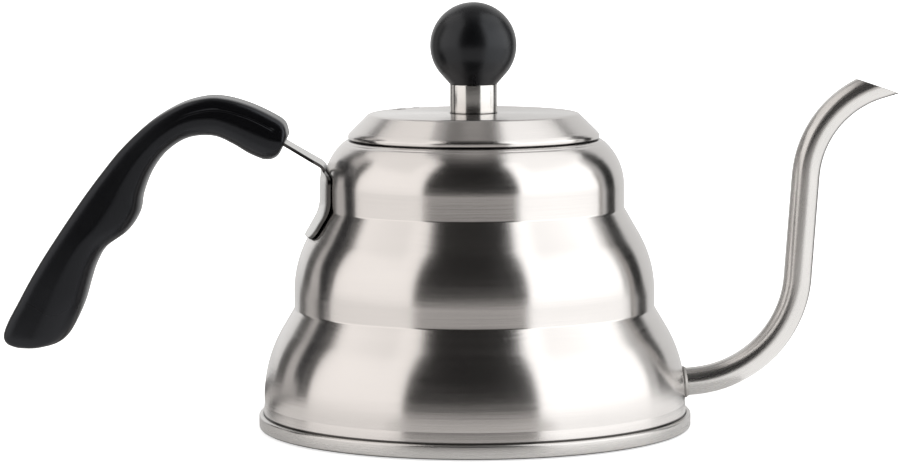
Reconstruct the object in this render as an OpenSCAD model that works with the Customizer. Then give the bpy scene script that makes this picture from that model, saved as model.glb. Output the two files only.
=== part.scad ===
// Gooseneck kettle: a stepped steel body with a long swan-neck spout, a lift-off lid with a ball
// knob, and a dark moulded grip carried by a flat steel bracket.
// Millimetres, +Z up. The origin is on the body's axis at the underside of the base. The spout
// points along +X and the grip along -X.

/* [Body] */
// Radius of the lowest and widest step of the body
low_step_r = 72.1; // [70:0.1:74]
// Radius of the middle step
mid_step_r = 61.6; // [59:0.1:63]
// Radius of the top step
top_step_r = 51.3; // [49:0.1:52.5]
// Height of the crease between the lowest and the middle step
low_crease_z = 41.3; // [38:0.1:43]
// Height of the crease between the middle and the top step
top_crease_z = 75.4; // [73:0.1:77]
// Height of the flat land around the mouth
mouth_z = 98.7; // [98:0.1:99]
// Thickness of the body's sheet steel
sheet = 0.7; // [0.5:0.1:0.8]

/* [Base] */
// Radius of the folded rim around the base
rim_r = 74; // [73.8:0.1:75]
// Height of the folded rim's top edge
rim_h = 5.2; // [5:0.1:5.6]
// Radius of the heat-spreading disc under the floor
spreader_r = 62; // [50:1:65]

/* [Mouth] */
// Inner radius of the neck ring that guides the lid
neck_bore_r = 39; // [38:0.1:39.2]
// Depth of the neck ring below the land
neck_depth = 8; // [6:0.5:10]

/* [Lid] */
// Radius of the lid's flat top
lid_top_r = 36.2; // [34:0.1:37]
// Radius of the lid's rolled lip
lid_lip_r = 42.9; // [42.5:0.1:43.2]
// Height of the lid's flat top above the base
lid_top_z = 107.7; // [106:0.1:109]
// Thickness of the lid's sheet
lid_sheet = 0.6; // [0.5:0.1:0.7]
// Depth of the lid's skirt below its flange
skirt_depth = 11; // [8:0.5:13]
// Radius of the larger steam vent
vent_r = 2.4; // [1.4:0.1:2.5]

/* [Knob] */
// Radius of the ball knob
ball_r = 14.7; // [12:0.1:16]
// Radius of the turned collar under the ball
collar_r = 8.15; // [6:0.05:9]
// Height of the collar
collar_h = 9.9; // [8:0.1:12]

/* [Spout] */
// Outer radius of the spout tube
tube_r = 4.8; // [4.5:0.05:5.2]
// Wall thickness of the spout tube
tube_wall = 0.6; // [0.5:0.1:0.8]
// Height of the tube's centre where it leaves the body
root_z = 14.7; // [13:0.1:16]
// Radius of the bend that turns the tube upward
low_bend_r = 38.8; // [37:0.1:41]
// Length of the nearly upright run
upright = 33.9; // [30:0.1:38]
// Radius of the tight bend near the outlet
crook_r = 34.7; // [32:0.1:37]

/* [Handle] */
// Width of the grip across the body
grip_w = 23; // [20:0.5:26]
// Thickness of the bracket's strip
strip = 1.2; // [1:0.1:1.5]
// Slope of the bracket's strap, in degrees
strap_slope = 30.8; // [29:0.2:32]
// Half the width of the bracket's saddle
saddle_half_w = 18; // [14:0.5:20]
// Half the width of the bracket's tang inside the grip
tang_half_w = 9; // [7:0.5:9.5]

/* [Hidden] */

$fn = 96;
far = 400;          // longer than the whole object
slip = 0.05;        // radial clearance of a pin in its hole

// ---- outlines ---------------------------------------------------------------------------------

function unit(v) = v / norm(v);
function left_of(v) = [-v[1], v[0]];

// Direction at point i of path p that splits the corner, scaled so that an offset keeps its width.
function miter(p, i) =
    let (
        last = len(p) - 1,
        before = left_of(unit(p[max(i, 1)] - p[max(i, 1) - 1])),
        after = left_of(unit(p[min(i + 1, last)] - p[min(i + 1, last) - 1])),
        mean = unit(before + after)
    ) mean / (mean * before);

// Path p moved d to its left.
function moved(p, d) = [for (i = [0:len(p) - 1]) p[i] + d * miter(p, i)];

function reversed(p) = [for (i = [len(p) - 1:-1:0]) p[i]];

// Closed outline of the strip between two offsets of path p.
function strip_outline(p, near, out) = concat(moved(p, near), reversed(moved(p, out)));

// Points of an arc round c, from angle a to angle b.
function arc(c, r, a, b, steps = 8) =
    [for (k = [0:steps]) c + r * [cos(a + (b - a) * k / steps), sin(a + (b - a) * k / steps)]];

// One step of the body: an upright wall from z0 to z1 that then bends inward through turn degrees.
function body_step(r, z0, z1, bend, turn) =
    concat([[r, z0]], arc([r - bend, z1], bend, 0, turn, 10));

// Outside of the body's sheet, from the foot flange up to the edge of the mouth.
function body_path() = concat(
    [[rim_r - 0.7, 1.8], [low_step_r + 0.3, 1.8], [low_step_r + 0.3, rim_h]],
    body_step(low_step_r, 9, 11, 46, 29.9),
    body_step(mid_step_r, low_crease_z, 47, 38.9, 29.2),
    body_step(top_step_r, top_crease_z, 83.2, 19.4, 48),
    arc([42.6, mouth_z - 2.6], 2.6, 38, 90, 5),
    [[neck_bore_r + 0.9, mouth_z]]
);

// The part of the body's outside that the saddle lies on, from the middle step's shoulder up.
saddle_span = [65.5, 91.5];
function saddle_path() = [
    for (p = body_path()) if (p[1] > saddle_span[0] && p[1] < saddle_span[1]) p
];

// Triangles between the rings of a skin, each ring having n points in the same order.
function side_faces(rings, n) = [
    for (s = [0:rings - 2], k = [0:n - 1])
        let (a = s * n + k, b = s * n + (k + 1) % n)
        each [[a, b, b + n], [a, b + n, a + n]]
];

module lathe(outline) {
    rotate_extrude() polygon(outline);
}

module disc(r, z0, z1, hole = 0) {
    translate([0, 0, z0]) difference() {
        cylinder(h = z1 - z0, r = r);
        if (hole > 0) translate([0, 0, -1]) cylinder(h = z1 - z0 + 2, r = hole);
    }
}

// ---- body -------------------------------------------------------------------------------------

module body_shell() {
    color("silver") difference() {
        lathe(strip_outline(body_path(), 0, sheet));
        spout_root() rotate([0, 90, 0])
            translate([0, 0, -6]) cylinder(h = 12, r = tube_r + slip);
    }
}

// Plain guide ring in the mouth, its flange welded under the land.
module neck_ring() {
    color("silver") lathe([
        [neck_bore_r, mouth_z - neck_depth],
        [neck_bore_r + 0.6, mouth_z - neck_depth],
        [neck_bore_r + 0.6, mouth_z - sheet - 0.7],
        [neck_bore_r + 2.6, mouth_z - sheet - 0.7],
        [neck_bore_r + 2.6, mouth_z - sheet],
        [neck_bore_r + 0.6, mouth_z - sheet],
        [neck_bore_r + 0.6, mouth_z],
        [neck_bore_r, mouth_z]
    ]);
}

// ---- base -------------------------------------------------------------------------------------

floor_z = 3;        // underside of the floor
cap_sheet = 0.6;

// Floor of the kettle; its edge is folded round the foot flange of the body.
module base_pan() {
    pan = [
        [low_step_r + 0.35, rim_h], [rim_r - 0.5, rim_h], [rim_r, rim_h - 0.5],
        [rim_r, 1.1], [rim_r - 0.6, 0.4], [70.6, 0.4], [69.8, 1.2], [69.2, floor_z], [0, floor_z]
    ];
    inside = [
        [0, floor_z + 0.6], [69.6, floor_z + 0.6], [70.3, 1.6], [70.9, 1], [rim_r - 0.65, 1],
        [rim_r - 0.65, rim_h - 0.6], [low_step_r + 0.35, rim_h - 0.6]
    ];
    color("silver") lathe(concat(pan, inside));
}

module heat_spreader() {
    color("gainsboro") disc(spreader_r - slip, cap_sheet, floor_z);
}

// Steel cap that seals the spreader under the floor.
module base_cap() {
    color("silver") lathe([
        [0, 0], [spreader_r, 0], [spreader_r + cap_sheet, cap_sheet],
        [spreader_r + cap_sheet, floor_z], [spreader_r, floor_z], [spreader_r, cap_sheet],
        [0, cap_sheet]
    ]);
}

// ---- spout ------------------------------------------------------------------------------------

root_x = 71.2;      // tube's end, level with the inside of the body's wall
root_rise = 5.7;    // slope of the tube where it leaves the body, in degrees
// Runs of the tube's centre line: [length] is straight, [radius, turn] is a bend, up when positive.
spout_runs = [[4.7], [low_bend_r, 80.1], [upright], [48, -4.6], [crook_r, -64.6], [22]];
tube_step = 4.5;    // turn between two rings of a bend, in degrees
tube_sides = 28;
// Outlet: the tube is sliced along a plane that falls away towards the tip.
outlet_top = [131.4, 118.3];
outlet_fall = 19;

module spout_root() {
    translate([root_x, 0, root_z]) rotate([0, -root_rise, 0]) children();
}

// Stations [point, heading] along the centre line of the runs.
function stations(runs, at, heading, i = 0) =
    i == len(runs) ? [[at, heading]] :
    len(runs[i]) == 1 ?
        concat([[at, heading]],
            stations(runs, at + runs[i][0] * [cos(heading), sin(heading)], heading, i + 1)) :
        let (
            turn = runs[i][1],
            arm = sign(turn) * runs[i][0],
            hub = at + arm * [-sin(heading), cos(heading)],
            steps = ceil(abs(turn) / tube_step),
            bent = [
                for (k = [0:steps])
                    let (a = heading + turn * k / steps) [hub + arm * [sin(a), -cos(a)], a]
            ]
        ) concat([for (k = [0:steps - 1]) bent[k]],
            stations(runs, bent[steps][0], bent[steps][1], i + 1));

// Circle of points square to the centre line at a station.
function tube_ring(station, r) = [
    for (k = [0:tube_sides - 1])
        let (a = 360 * k / tube_sides, h = station[1], c = station[0])
        [c[0] - r * cos(a) * sin(h), r * sin(a), c[1] + r * cos(a) * cos(h)]
];

module above_outlet() {
    translate([outlet_top[0], -far / 2, outlet_top[1]]) rotate([0, outlet_fall, 0])
        translate([-far / 8, 0, 0]) cube([far, far, far]);
}

// Tube wall as one closed skin: outer rings, then inner rings, joined at both ends.
module spout_wall() {
    line = stations(spout_runs, [root_x, root_z], root_rise);
    count = len(line);
    inner_from = count * tube_sides;
    points = [for (r = [tube_r, tube_r - tube_wall], s = line, p = tube_ring(s, r)) p];
    ends = [
        for (end = [0, (count - 1) * tube_sides], k = [0:tube_sides - 1])
            let (a = end + k, b = end + (k + 1) % tube_sides, c = inner_from)
            each end == 0 ? [[b, a, a + c], [b, a + c, b + c]] : [[a, b, b + c], [a, b + c, a + c]]
    ];
    polyhedron(points, concat(
        side_faces(count, tube_sides),
        [for (f = side_faces(count, tube_sides)) [f[0] + inner_from, f[2] + inner_from, f[1] + inner_from]],
        ends
    ));
}

module spout_tube() {
    color("silver") difference() {
        spout_wall();
        above_outlet();
    }
}

weld_leg = 0.6;     // height of the fillet on the tube

// Fillet of weld metal where the tube meets the body.
module spout_weld() {
    color("gray") difference() {
        spout_root() rotate([0, 90, 0]) rotate_extrude()
            polygon([
                [tube_r + 0.02, -1.2], [tube_r + weld_leg, -1.2], [tube_r + weld_leg, 1],
                [tube_r + 0.02, 1.8]
            ]);
        rotate_extrude($fn = 720) polygon(concat([[0, 0]], body_path(), [[0, mouth_z]]));
    }
}

// ---- handle -----------------------------------------------------------------------------------

saddle_gap = 0.2;   // thickness of the weld metal between the saddle and the body
strap_foot = [-46, 86.9];
strap_run = 43;     // length of the strap and tang from the foot
root_half_w = 10;   // half the strap's width where it leaves the saddle
wing_z = 88.6;      // top of the saddle's wings
grip_start = 19;    // where the tang enters the grip, along the strap
screw_at = [28, 37];
screw_head_drop = 5.6;
screw_r = 2;

// Places children on the strap's centre line, u along it, with +Z square to its upper face.
module on_strap(u = 0) {
    translate([strap_foot[0], 0, strap_foot[1]]) rotate([0, strap_slope, 0]) rotate([0, 0, 180])
        translate([u, 0, 0]) children();
}

module handle_bracket() {
    reach = saddle_gap + strip;
    color("silver") difference() {
        union() {
            intersection() {
                lathe(strip_outline(saddle_path(), -reach, -saddle_gap));
                union() {
                    translate([-70, -saddle_half_w, 50]) cube([40, 2 * saddle_half_w, wing_z - 50]);
                    translate([-70, -root_half_w, 50]) cube([40, 2 * root_half_w, 50]);
                }
            }
            difference() {
                on_strap() translate([0, 0, -strip / 2]) linear_extrude(strip) polygon([
                    [-4, -root_half_w], [grip_start, -tang_half_w],
                    [strap_run - 1, -tang_half_w], [strap_run, -tang_half_w + 1],
                    [strap_run, tang_half_w - 1], [strap_run - 1, tang_half_w],
                    [grip_start, tang_half_w], [-4, root_half_w]
                ]);
                lathe(concat([[0, 50]], moved(saddle_path(), -saddle_gap - slip), [[0, 100]]));
            }
        }
        for (u = screw_at) on_strap(u) cylinder(h = 4 * strip, r = screw_r + 0.2, center = true);
    }
}

// Spot welds: the gap between saddle and body is filled at four places.
module bracket_welds() {
    color("gray") intersection() {
        lathe(strip_outline(saddle_path(), -saddle_gap, 0));
        for (side = [-1, 1], z = [69.5, 80]) rotate([0, 0, 180 + 12 * side])
            translate([40, 0, z]) rotate([0, 90, 0]) cylinder(h = 30, r = 2.2);
    }
}

// Upper and outer edge of the grip, from the bracket end down to the tail.
grip_outer = [
    [-62.8, 101], [-64.2, 105.3], [-68.5, 108.3], [-76, 111.8], [-84, 114.1], [-91, 114.4],
    [-100, 112], [-110, 106.2], [-119.5, 97.6], [-126.5, 89.3], [-132.5, 81.4], [-138, 73.6],
    [-143, 66.2], [-148, 58.5], [-152.6, 50.7], [-156.3, 43.9], [-159.7, 37.6], [-161.3, 33],
    [-160.2, 30.1], [-156.5, 28.6]
];
// Lower and inner edge of the grip with its two finger bumps, point for point with the outer edge.
grip_inner = [
    [-64.8, 97], [-66.8, 93.5], [-70.5, 92.3], [-76, 94.2], [-82, 97.8], [-88.5, 100.5],
    [-97, 100.2], [-105, 96.1], [-110.4, 89.1], [-113, 81.1], [-114.8, 74.8], [-119, 68.9],
    [-125.4, 62.8], [-128.9, 57.2], [-130.9, 51.5], [-133, 44.4], [-135.8, 38], [-139, 32.6],
    [-142.6, 29.9], [-148, 28.6]
];
grip_steps = 3;
grip_sides = 24;
grip_square = 0.55;  // 1 makes the grip's section an ellipse, 0 a rectangle

// Smooth curve through the points of p, with n short chords for each pair of points.
function smooth(p, n) =
    let (last = len(p) - 1) concat([
        for (i = [0:last - 1], k = [0:n - 1])
            let (a = p[max(i - 1, 0)], b = p[i], c = p[i + 1], d = p[min(i + 2, last)], t = k / n)
            0.5 * (2 * b + (c - a) * t + (2 * a - 5 * b + 4 * c - d) * t * t
                + (3 * b - a - 3 * c + d) * t * t * t)
    ], [p[last]]);

function rounded(v) = sign(v) * pow(abs(v), grip_square);

// Ring of points of the grip's section between an inner and an outer point.
function grip_ring(o, i, half_w) = [
    for (k = [0:grip_sides - 1])
        let (
            a = 360 * (k + 0.5) / grip_sides,
            across = half_w * rounded(cos(a)),
            p = (o + i) / 2 + (o - i) / 2 * rounded(sin(a))
        ) [p[0], across, p[1]]
];

module grip_solid() {
    outer = smooth(grip_outer, grip_steps);
    inner = smooth(grip_inner, grip_steps);
    last = len(outer) - 1;
    rings = [
        for (s = [0:last])
            let (from_end = min(s, last - s), ease = min(1, from_end / grip_steps))
            grip_ring(outer[s], inner[s], grip_w / 2 * (0.78 + 0.22 * sqrt(ease * (2 - ease))))
    ];
    points = [for (ring = rings, p = ring) p];
    ends = [
        [for (k = [grip_sides - 1:-1:0]) k],
        [for (k = [0:grip_sides - 1]) last * grip_sides + k]
    ];
    polyhedron(points, concat(side_faces(last + 1, grip_sides), ends));
}

module handle_grip() {
    color([0.1, 0.1, 0.1]) difference() {
        grip_solid();
        on_strap(grip_start - 3) translate([0, -root_half_w, -strip / 2 - slip])
            cube([strap_run - grip_start + 4, 2 * root_half_w, strip + 2 * slip]);
        for (u = screw_at) on_strap(u) {
            translate([0, 0, -20]) cylinder(h = 26, r = screw_r + slip);
            translate([0, 0, -screw_head_drop - 20]) cylinder(h = 20, r = 4.2);
        }
    }
}

// Washers that spread the screws' load on the moulding.
module grip_washers() {
    color("silver") for (u = screw_at) on_strap(u)
        translate([0, 0, -screw_head_drop - 0.8]) disc(4, 0, 0.8, screw_r + slip);
}

// Pan-head screws that clamp the grip on the tang.
module grip_screws() {
    color("gray") for (u = screw_at) on_strap(u) {
        difference() {
            translate([0, 0, -screw_head_drop - 3]) cylinder(h = 2.2, r = 3.6);
            translate([0, 0, -screw_head_drop - 3]) for (turn = [0, 90]) rotate([0, 0, turn])
                cube([3.6, 0.8, 2.2], center = true);
        }
        translate([0, 0, -screw_head_drop - 0.8]) cylinder(h = screw_head_drop + 6, r = screw_r);
    }
}

// ---- lid --------------------------------------------------------------------------------------

lip_z = mouth_z + 0.3;                   // underside of the lid, just above the land
flange_z = lip_z + lid_sheet;            // underside of the skirt's flange inside the rolled lip
skirt_r = neck_bore_r - 1;
vent_at = [[-25.7, 20.2], [-20.3, 26.4]];  // two vents side by side near the lid's edge
small_vent = 0.7;                        // the second vent's radius as a share of the first's

// Outside of the lid's cover, from the middle over the edge to the tip of the rolled lip.
function cover_path() = concat(
    [[0, lid_top_z]],
    arc([lid_top_r - 0.9, lid_top_z - 1.1], 1.1, 90, 45, 3),
    [[lid_lip_r - 0.9, lip_z + 2.5]],
    arc([lid_lip_r - 0.9, lip_z + 1.2], 0.9, 20, 0, 2),
    arc([lid_lip_r - 0.7, lip_z + 0.7], 0.7, 0, -90, 3),
    [[lid_lip_r - 1.8, lip_z]]
);

module lid_cover() {
    color("silver") difference() {
        lathe(strip_outline(cover_path(), -lid_sheet, 0));
        translate([0, 0, lid_top_z - 2]) cylinder(h = 4, r = screw_r + slip);
        translate([vent_at[0][0], vent_at[0][1], lid_top_z - 2]) cylinder(h = 4, r = vent_r);
        translate([vent_at[1][0], vent_at[1][1], lid_top_z - 2])
            cylinder(h = 4, r = small_vent * vent_r);
    }
}

// Plain skirt that hangs in the neck, its flange held in the cover's rolled lip.
module lid_skirt() {
    color("silver") lathe([
        [skirt_r - 0.6, flange_z + 0.6], [skirt_r - 0.6, flange_z - skirt_depth],
        [skirt_r, flange_z - skirt_depth], [skirt_r, flange_z],
        [lid_lip_r - 0.75, flange_z], [lid_lip_r - 0.75, flange_z + 0.6]
    ]);
}

// Spot welds between the skirt's flange and the rolled lip of the cover.
module skirt_welds() {
    color("gray") for (k = [0:5]) rotate([0, 0, 30 + 60 * k])
        translate([lid_lip_r - 1.35, 0, flange_z + 0.6]) cylinder(h = 0.3, r1 = 0.55, r2 = 0.35);
}

// ---- knob -------------------------------------------------------------------------------------

collar_top = lid_top_z + collar_h;
ball_rise = 13.1;   // height of the ball's middle above the collar
ball_z = collar_top + ball_rise;
foot_h = 3.4;       // height of the ball's sloping foot
washer_t = 0.8;
lock_t = 1;
head_h = 2.4;
head_top = lid_top_z - lid_sheet - washer_t - lock_t;
insert_r = 3.6;
insert_h = 13;

// Turned spacer between the lid and the ball.
module knob_collar() {
    color("silver") lathe([
        [screw_r + slip, lid_top_z], [collar_r - 0.2, lid_top_z], [collar_r, lid_top_z + 0.2],
        [collar_r, collar_top - 0.3], [collar_r - 0.3, collar_top], [screw_r + slip, collar_top]
    ]);
}

module knob_ball() {
    color([0.1, 0.1, 0.1]) difference() {
        union() {
            intersection() {
                translate([0, 0, ball_z]) sphere(r = ball_r);
                translate([0, 0, collar_top]) cylinder(h = 40, r = 20);
            }
            translate([0, 0, collar_top]) cylinder(
                h = foot_h, r1 = collar_r - 0.1, r2 = sqrt(pow(ball_r, 2) - pow(ball_rise - foot_h, 2))
            );
        }
        translate([0, 0, collar_top - 1]) cylinder(h = insert_h + 1.05, r = insert_r);
    }
}

// Brass nut moulded into the ball.
module knob_insert() {
    color("gold") disc(insert_r, collar_top, collar_top + insert_h, screw_r + slip);
}

module knob_washer() {
    color("silver") disc(5, head_top + lock_t, head_top + lock_t + washer_t, screw_r + slip);
}

// Split spring washer.
module knob_lock_washer() {
    color("gray") difference() {
        disc(3.6, head_top, head_top + lock_t, screw_r + slip);
        translate([0, -0.3, head_top - 1]) cube([5, 0.6, lock_t + 2]);
    }
}

// Pan-head screw, put in from inside the lid, with a cross recess.
module knob_screw() {
    color("gray") {
        difference() {
            translate([0, 0, head_top - head_h]) cylinder(h = head_h, r = 3.8);
            translate([0, 0, head_top - head_h]) for (turn = [0, 90]) rotate([0, 0, turn])
                cube([4, 0.9, 2.2], center = true);
        }
        translate([0, 0, head_top]) cylinder(h = collar_top + insert_h - 2 - head_top, r = screw_r);
    }
}

// ---- drawing ----------------------------------------------------------------------------------

body_shell();
neck_ring();
base_pan();
heat_spreader();
base_cap();
spout_tube();
spout_weld();
handle_bracket();
bracket_welds();
handle_grip();
grip_screws();
grip_washers();
lid_cover();
lid_skirt();
skirt_welds();
knob_collar();
knob_ball();
knob_insert();
knob_screw();
knob_washer();
knob_lock_washer();
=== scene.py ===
"""Looks of a gooseneck kettle: stepped brushed body, swan-neck spout, ball-knob lid and dark moulded grip."""

import logging
import math
from collections.abc import Sequence
from dataclasses import dataclass
from enum import Enum

import bmesh
import bpy
from mathutils import Matrix, Vector


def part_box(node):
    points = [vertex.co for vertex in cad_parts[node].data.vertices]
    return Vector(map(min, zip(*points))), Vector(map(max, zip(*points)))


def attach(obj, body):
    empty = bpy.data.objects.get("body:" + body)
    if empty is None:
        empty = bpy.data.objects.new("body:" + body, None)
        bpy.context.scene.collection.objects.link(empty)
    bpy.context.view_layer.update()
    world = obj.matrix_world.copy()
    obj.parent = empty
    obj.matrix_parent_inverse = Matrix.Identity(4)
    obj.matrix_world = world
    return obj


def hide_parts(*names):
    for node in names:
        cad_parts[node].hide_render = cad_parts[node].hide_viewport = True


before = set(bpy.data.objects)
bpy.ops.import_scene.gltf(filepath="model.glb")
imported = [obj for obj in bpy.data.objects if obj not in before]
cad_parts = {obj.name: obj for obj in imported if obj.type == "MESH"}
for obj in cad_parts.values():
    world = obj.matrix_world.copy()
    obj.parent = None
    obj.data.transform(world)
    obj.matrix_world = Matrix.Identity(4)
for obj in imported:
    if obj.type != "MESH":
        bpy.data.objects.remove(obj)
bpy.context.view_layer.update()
LOG = logging.getLogger("kettle")

MM = 0.001
UP = Vector((0, 0, 1))
GRAIN_MAP = "run"
GRAIN_UNIT = 100.0  # millimetres of run for one unit of the grain map
# vertex attribute that marks where the metal's colour gets painted shade
PAINTED_SHADE = "painted_shade"
BUMP_REACH = 0.0002  # metres of relief at full strength

Point = tuple[float, float]
Ring = list[Vector]
Colour = tuple[float, float, float]
WorkMesh = bmesh.types.BMesh
Piece = bpy.types.Object
Tree = bpy.types.ShaderNodeTree
Node = bpy.types.Node
Socket = bpy.types.NodeSocket


class Body(Enum):
    """The two bodies that move apart."""

    KETTLE = "kettle"
    LID = "lid"


class Slot(Enum):
    """Material slots of the part's record."""

    BODY = "body_steel"
    BASE = "base_steel"
    SPOUT = "spout_steel"
    BRACKET = "bracket_steel"
    LID = "lid_steel"
    COLLAR = "collar_steel"
    SCREW = "screw_steel"
    WELD = "weld_steel"
    GRIP = "grip_resin"
    KNOB = "knob_resin"
    BRASS = "insert_brass"
    SPREADER = "spreader_aluminium"


class Grain(Enum):
    """Which way the polishing lines of a metal run."""

    ROUND = "round the axis"
    ALONG = "along the run"
    NONE = "no direction"


# ---- outlines and meshes ------------------------------------------------------------------------


@dataclass(frozen=True)
class Corner:
    """A corner of an outline, in millimetres from the axis and above the base, with its rounding."""

    r: float
    z: float
    round: float = 0.0


def arc(centre: Point, radius: float, start: float, end: float, steps: int) -> list[Corner]:
    """Makes corners along a circular arc.

    Args:
        centre: Centre of the arc.
        radius: Radius of the arc.
        start: Angle of the first corner in degrees.
        end: Angle of the last corner in degrees.
        steps: Number of chords.

    Returns:
        The corners, both ends included.
    """
    angles = [math.radians(start + (end - start) * k / steps) for k in range(steps + 1)]
    return [Corner(centre[0] + radius * math.cos(a), centre[1] + radius * math.sin(a)) for a in angles]


def rounded(corners: Sequence[Corner], closed: bool = True, steps: int = 5) -> list[Point]:
    """Turns corners into points, with an arc at each corner that asks for one.

    Args:
        corners: Corners in order.
        closed: Whether the last corner joins the first.
        steps: Chords of each rounding.

    Returns:
        Points of the outline.
    """
    longest = 0.49  # share of a side that one rounding may take
    points: list[Point] = []
    count = len(corners)
    for i, corner in enumerate(corners):
        at_end = not closed and i in (0, count - 1)
        if corner.round <= 0 or at_end:
            points.append((corner.r, corner.z))
            continue
        here = Vector((corner.r, corner.z))
        before = Vector((corners[i - 1].r, corners[i - 1].z)) - here
        after = Vector((corners[(i + 1) % count].r, corners[(i + 1) % count].z)) - here
        half = before.angle(after) / 2
        reach = min(corner.round / math.tan(half), longest * min(before.length, after.length))
        radius = reach * math.tan(half)
        hub = here + (before.normalized() + after.normalized()).normalized() * radius / math.sin(half)
        first = here + before.normalized() * reach - hub
        last = here + after.normalized() * reach - hub
        sweep = first.angle_signed(last)
        for k in range(steps + 1):
            spoke = first.copy()
            spoke.rotate(Matrix.Rotation(-sweep * k / steps, 2))
            points.append((hub.x + spoke.x, hub.y + spoke.y))
    return points


def offset(points: Sequence[Point], distance: float) -> list[Point]:
    """Moves an open path sideways, keeping its width at corners.

    Args:
        points: Points of the path.
        distance: How far to its left, in millimetres.

    Returns:
        Points of the moved path.
    """
    tightest = 0.3  # limit that keeps a sharp corner from running away
    moved: list[Point] = []
    last = len(points) - 1
    for i, point in enumerate(points):
        before = Vector(points[max(i, 1)]) - Vector(points[max(i, 1) - 1])
        after = Vector(points[min(i + 1, last)]) - Vector(points[min(i + 1, last) - 1])
        left_before = Vector((-before.y, before.x)).normalized()
        left_after = Vector((-after.y, after.x)).normalized()
        mean = (left_before + left_after).normalized()
        side = mean / max(mean.dot(left_before), tightest) * distance
        moved.append((point[0] + side.x, point[1] + side.y))
    return moved


def sheet(points: Sequence[Point], thickness: float) -> list[Point]:
    """Closes an open path into the outline of a sheet that lies to its left.

    Args:
        points: Outer side of the sheet.
        thickness: Thickness of the sheet in millimetres.

    Returns:
        Closed outline.
    """
    return list(points) + list(reversed(offset(points, thickness)))


def smooth_curve(points: Sequence[Point], steps: int) -> list[Point]:
    """Draws a smooth curve through points.

    Args:
        points: Points that the curve passes through.
        steps: Chords between two points.

    Returns:
        Points of the curve.
    """
    last = len(points) - 1
    curve: list[Point] = []
    for i in range(last):
        a, b = Vector(points[max(i - 1, 0)]), Vector(points[i])
        c, d = Vector(points[i + 1]), Vector(points[min(i + 2, last)])
        for k in range(steps):
            t = k / steps
            p = 0.5 * (
                2 * b
                + (c - a) * t
                + (2 * a - 5 * b + 4 * c - d) * t * t
                + (3 * b - a - 3 * c + d) * t**3
            )
            curve.append((p.x, p.y))
    curve.append(tuple(points[last]))
    return curve


def travelled(points: Sequence[Vector]) -> list[float]:
    """Gives the distance travelled along a path at each of its points.

    Args:
        points: Points of the path.

    Returns:
        One distance for each point, 0 for the first.
    """
    travel = [0.0]
    for a, b in zip(points, points[1:]):
        travel.append(travel[-1] + (b - a).length)
    return travel


def quarter(t: float) -> float:
    """Gives the height of a quarter circle that rises from 0 to 1 as t does."""
    return math.sqrt(t * (2 - t))


def corner_loss(corner: float, distance: float) -> float:
    """Gives what a rounded corner takes off a width at a distance from the end."""
    inset = max(0.0, corner - distance)
    return corner - math.sqrt(corner**2 - inset**2)


def stand_mesh(bm: WorkMesh, name: str) -> Piece:
    """Turns a working mesh into an object of the scene.

    Args:
        bm: Working mesh; it is freed.
        name: Name of the object and its mesh.

    Returns:
        The new object, linked to the scene.
    """
    mesh = bpy.data.meshes.new(name)
    bm.to_mesh(mesh)
    bm.free()
    piece = bpy.data.objects.new(name, mesh)
    bpy.context.scene.collection.objects.link(piece)
    return piece


def finish_mesh(bm: WorkMesh, name: str, sharp: float = 35.0) -> Piece:
    """Turns a working mesh in millimetres into a smooth shaded object in metres.

    Args:
        bm: Working mesh; it is freed.
        name: Name of the piece.
        sharp: Edges that turn by more than this many degrees stay sharp.

    Returns:
        The new object, linked to the scene.
    """
    bmesh.ops.recalc_face_normals(bm, faces=bm.faces[:])
    bmesh.ops.scale(bm, vec=(MM, MM, MM), verts=bm.verts[:])
    piece = stand_mesh(bm, name)
    piece.data.shade_smooth()
    piece.data.set_sharp_from_angle(angle=math.radians(sharp))
    return piece


def skin(bm: WorkMesh, rings: Sequence[Ring], closed: bool = False) -> list[list[bmesh.types.BMVert]]:
    """Adds quads between neighbouring rings of points and lays the grain map over them.

    Args:
        bm: Working mesh.
        rings: Rings with the same number of points each.
        closed: Whether the last ring joins the first.

    Returns:
        The mesh vertices, ring by ring.
    """
    grain = bm.loops.layers.uv.get(GRAIN_MAP) or bm.loops.layers.uv.new(GRAIN_MAP)
    verts = [[bm.verts.new(p) for p in ring] for ring in rings]
    sides = len(rings[0])
    travel = travelled([ring[0] for ring in rings])
    for s in range(len(rings) if closed else len(rings) - 1):
        after = (s + 1) % len(rings)
        for k in range(sides):
            n = (k + 1) % sides
            face = bm.faces.new((verts[s][k], verts[s][n], verts[after][n], verts[after][k]))
            near, far = travel[s], travel[s + 1] if after else travel[s] + 1
            places = ((near, k), (near, k + 1), (far, k + 1), (far, k))
            for loop, (along, across) in zip(face.loops, places):
                loop[grain].uv = (along / GRAIN_UNIT, across / sides)
    return verts


def lathe(name: str, outline: Sequence[Point], segments: int = 256) -> Piece:
    """Turns a closed outline round the kettle's axis.

    Args:
        name: Name of the piece.
        outline: Closed outline of radius and height in millimetres.
        segments: Facets round the axis.

    Returns:
        The turned piece.
    """
    bm = bmesh.new()
    rings = []
    for k in range(segments):
        a = 2 * math.pi * k / segments
        rings.append([Vector((r * math.cos(a), r * math.sin(a), z)) for r, z in outline])
    skin(bm, rings, closed=True)
    bmesh.ops.remove_doubles(bm, verts=bm.verts[:], dist=1e-5)
    return finish_mesh(bm, name)


def drum(radius: float, height: float, place: Matrix, sides: int = 48) -> Piece:
    """Makes a cutter for a round hole.

    Args:
        radius: Radius in millimetres.
        height: Height in millimetres, upward from the place.
        place: Where the foot of the drum stands, in millimetres.
        sides: Facets round the drum.

    Returns:
        The cutter.
    """
    bm = bmesh.new()
    lift = Matrix.Translation((0, 0, height / 2))
    bmesh.ops.create_cone(
        bm,
        cap_ends=True,
        segments=sides,
        radius1=radius,
        radius2=radius,
        depth=height,
        matrix=place @ lift,
    )
    return finish_mesh(bm, "cutter")


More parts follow.
